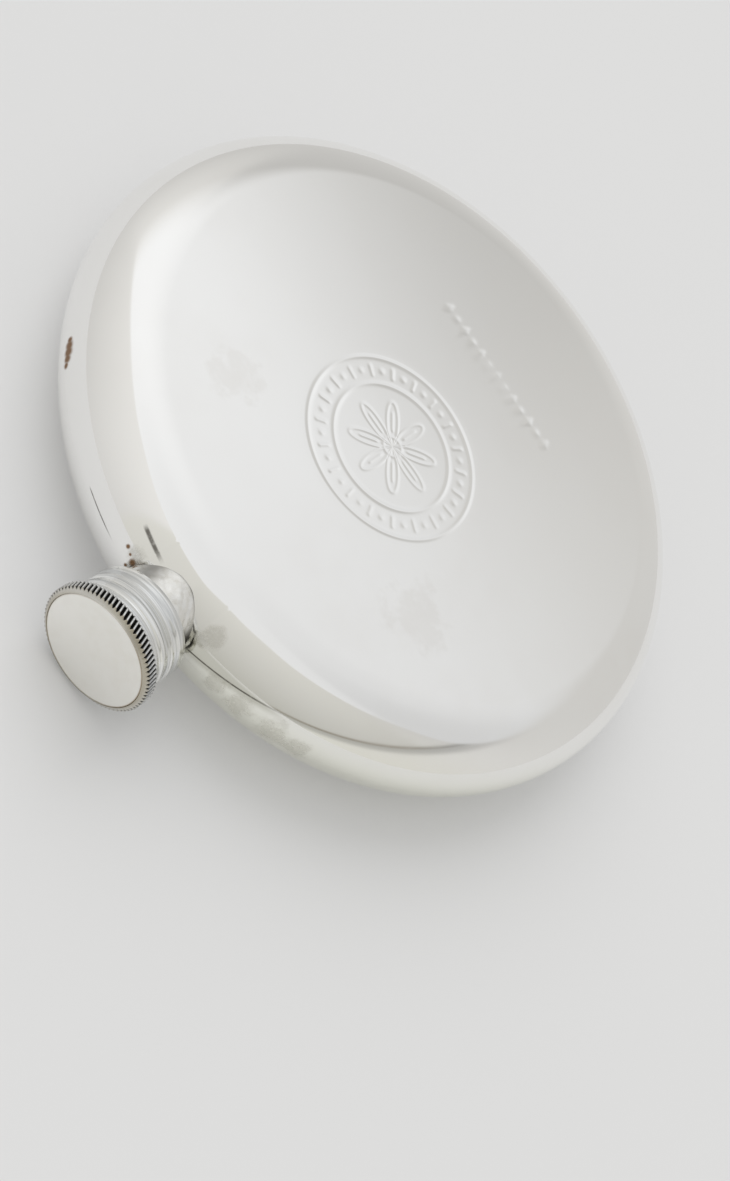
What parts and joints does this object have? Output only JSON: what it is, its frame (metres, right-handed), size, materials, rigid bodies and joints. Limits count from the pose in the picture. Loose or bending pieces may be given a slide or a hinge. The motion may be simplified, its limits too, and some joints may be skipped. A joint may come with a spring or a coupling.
{
  "type": "hip flask",
  "caption": "Round flat hip flask of soldered pewter halves, with a threaded neck on its rim and a knurled screw cap with a sealing washer.",
  "frame": {"origin": "centre of the flat back, on the surface that the flask lies on", "axes": "+Z out of the front face, -Y out along the neck and cap, +X to the right seen from the cap's side"},
  "size_m": [0.105, 0.1155, 0.018],
  "materials": {
    "polished_pewter": "hand-polished pewter, mirror bright with hairline scratches",
    "polished_pewter_back": "hand-polished pewter, lightly rubbed where it rests",
    "solder": "bright wiped solder, slightly lumpy, tarnished at its edge",
    "turned_pewter": "lathe-turned pewter, left off the tool",
    "cap_pewter": "turned and polished pewter, dark in the knurls and grooves",
    "brushed_pewter": "fine brushed satin",
    "seal_cork": "pressed cork washer"
  },
  "bodies": {
    "flask": {"front_shell": "polished_pewter", "back_shell": "polished_pewter_back", "seam_solder": "solder", "neck": "turned_pewter", "neck_solder": "solder"},
    "seal": {"cap_seal": "seal_cork"},
    "cap": {"cap_shell": "cap_pewter", "cap_top_disc": "brushed_pewter", "cap_thread_sleeve": "turned_pewter"}
  },
  "joints": [
    {"name": "cap_lift", "type": "slide", "parent": "flask", "child": "seal", "axis": [0, -1, 0], "range_m": [0, 0.01]},
    {"name": "cap_turn", "type": "hinge", "parent": "seal", "child": "cap", "pos_m": [0, -0.06, 0.009], "axis": [0, -1, 0], "range_deg": [0, 1800]}
  ],
  "couplings": [
    {"joint": "cap_lift", "follows": "cap_turn", "m_per_rad": 0.00031831}
  ]
}
